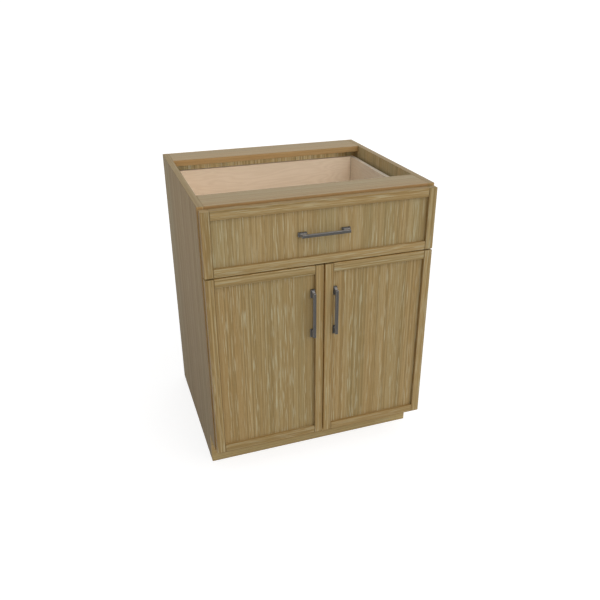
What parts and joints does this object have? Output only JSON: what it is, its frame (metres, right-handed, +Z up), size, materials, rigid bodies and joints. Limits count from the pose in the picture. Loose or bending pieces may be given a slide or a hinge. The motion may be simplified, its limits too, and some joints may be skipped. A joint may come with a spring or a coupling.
{
  "type": "kitchen base cabinet",
  "caption": "Frameless oak kitchen base cabinet with an open top, a drawer over a pair of framed doors, bar pulls and a recessed toe kick.",
  "frame": {"origin": "on the floor, at the middle of the whole outline's footprint", "axes": "+Z up, -Y out of the front, towards somebody at the drawer and doors, +X to the right of somebody facing them"},
  "size_m": [0.6858, 0.6512, 0.8763],
  "materials": {
    "case_side_oak": "clear satin, vertical grain",
    "back_oak": "clear satin, vertical grain",
    "case_flat_oak": "clear satin, grain across the width",
    "toe_oak": "clear satin, grain across the width",
    "stile_oak": "clear satin, vertical grain",
    "rail_oak": "clear satin, horizontal grain",
    "drawer_panel_oak": "clear satin, vertical grain",
    "left_panel_oak": "clear satin, vertical grain",
    "right_panel_oak": "clear satin, vertical grain",
    "box_maple": "clear satin",
    "box_bottom_maple": "clear satin",
    "dowel_beech": "plain",
    "pull_metal": "dark graphite, satin",
    "zinc_steel": "bright zinc",
    "nickel_steel": "satin nickel",
    "screw_steel": "bright zinc",
    "grey_plastic": "fine matt",
    "bumper_rubber": "soft, milky"
  },
  "bodies": {
    "carcass": {"left_side_panel": "case_side_oak", "right_side_panel": "case_side_oak", "bottom_panel": "case_flat_oak", "back_panel": "back_oak", "front_stretcher": "case_flat_oak", "rear_stretcher": "case_flat_oak", "toe_kick_board": "toe_oak", "toe_kick_blocks": "toe_oak", "adjustable_shelf": "case_flat_oak", "shelf_pins": "zinc_steel", "case_dowels": "dowel_beech", "left_runner_rail": "zinc_steel", "right_runner_rail": "zinc_steel", "runner_screws": "screw_steel", "hinge_plates": "nickel_steel", "hinge_arms": "nickel_steel", "hinge_plate_screws": "screw_steel"},
    "drawer": {"drawer_left_stile": "stile_oak", "drawer_right_stile": "stile_oak", "drawer_top_rail": "rail_oak", "drawer_bottom_rail": "rail_oak", "drawer_front_panel": "drawer_panel_oak", "drawer_box_front": "box_maple", "drawer_box_back": "box_maple", "drawer_box_left_side": "box_maple", "drawer_box_right_side": "box_maple", "drawer_box_bottom": "box_bottom_maple", "drawer_pull": "pull_metal", "drawer_pull_screws": "screw_steel", "drawer_front_screws": "screw_steel", "runner_drawer_rails": "zinc_steel", "runner_clips": "grey_plastic", "drawer_bumpers": "bumper_rubber"},
    "runner_middle": {"runner_middle_rails": "nickel_steel", "runner_glides": "grey_plastic"},
    "left_hinge_link": {"left_hinge_links": "nickel_steel"},
    "left_door": {"left_door_hinge_stile": "stile_oak", "left_door_lock_stile": "stile_oak", "left_door_top_rail": "rail_oak", "left_door_bottom_rail": "rail_oak", "left_door_panel": "left_panel_oak", "left_door_pull": "pull_metal", "left_door_pull_screws": "screw_steel", "left_hinge_cups": "nickel_steel", "left_cup_screws": "screw_steel", "left_door_bumper": "bumper_rubber"},
    "right_hinge_link": {"right_hinge_links": "nickel_steel"},
    "right_door": {"right_door_hinge_stile": "stile_oak", "right_door_lock_stile": "stile_oak", "right_door_top_rail": "rail_oak", "right_door_bottom_rail": "rail_oak", "right_door_panel": "right_panel_oak", "right_door_pull": "pull_metal", "right_door_pull_screws": "screw_steel", "right_hinge_cups": "nickel_steel", "right_cup_screws": "screw_steel", "right_door_bumper": "bumper_rubber"}
  },
  "joints": [
    {"name": "drawer_slide", "type": "slide", "parent": "carcass", "child": "drawer", "axis": [0, -1, 0], "range_m": [0, 0.48]},
    {"name": "runner_middle_slide", "type": "slide", "parent": "carcass", "child": "runner_middle", "axis": [0, -1, 0], "range_m": [0, 0.24]},
    {"name": "left_link_pivot", "type": "hinge", "parent": "carcass", "child": "left_hinge_link", "pos_m": [-0.30685, -0.2775, 0.39215], "axis": [0, 0, -1], "range_deg": [-48.2, 0]},
    {"name": "left_door_pivot", "type": "hinge", "parent": "left_hinge_link", "child": "left_door", "pos_m": [-0.3274, -0.2925, 0.39215], "axis": [0, 0, -1], "range_deg": [0, 155.15]},
    {"name": "right_link_pivot", "type": "hinge", "parent": "carcass", "child": "right_hinge_link", "pos_m": [0.30685, -0.2775, 0.39215], "axis": [0, 0, 1], "range_deg": [-48.2, 0]},
    {"name": "right_door_pivot", "type": "hinge", "parent": "right_hinge_link", "child": "right_door", "pos_m": [0.3274, -0.2925, 0.39215], "axis": [0, 0, 1], "range_deg": [0, 155.15]}
  ],
  "couplings": [
    {"joint": "runner_middle_slide", "follows": "drawer_slide", "ratio": 0.5},
    {"joint": "left_link_pivot", "follows": "left_door_pivot", "ratio": -0.31034},
    {"joint": "right_link_pivot", "follows": "right_door_pivot", "ratio": -0.31034}
  ]
}
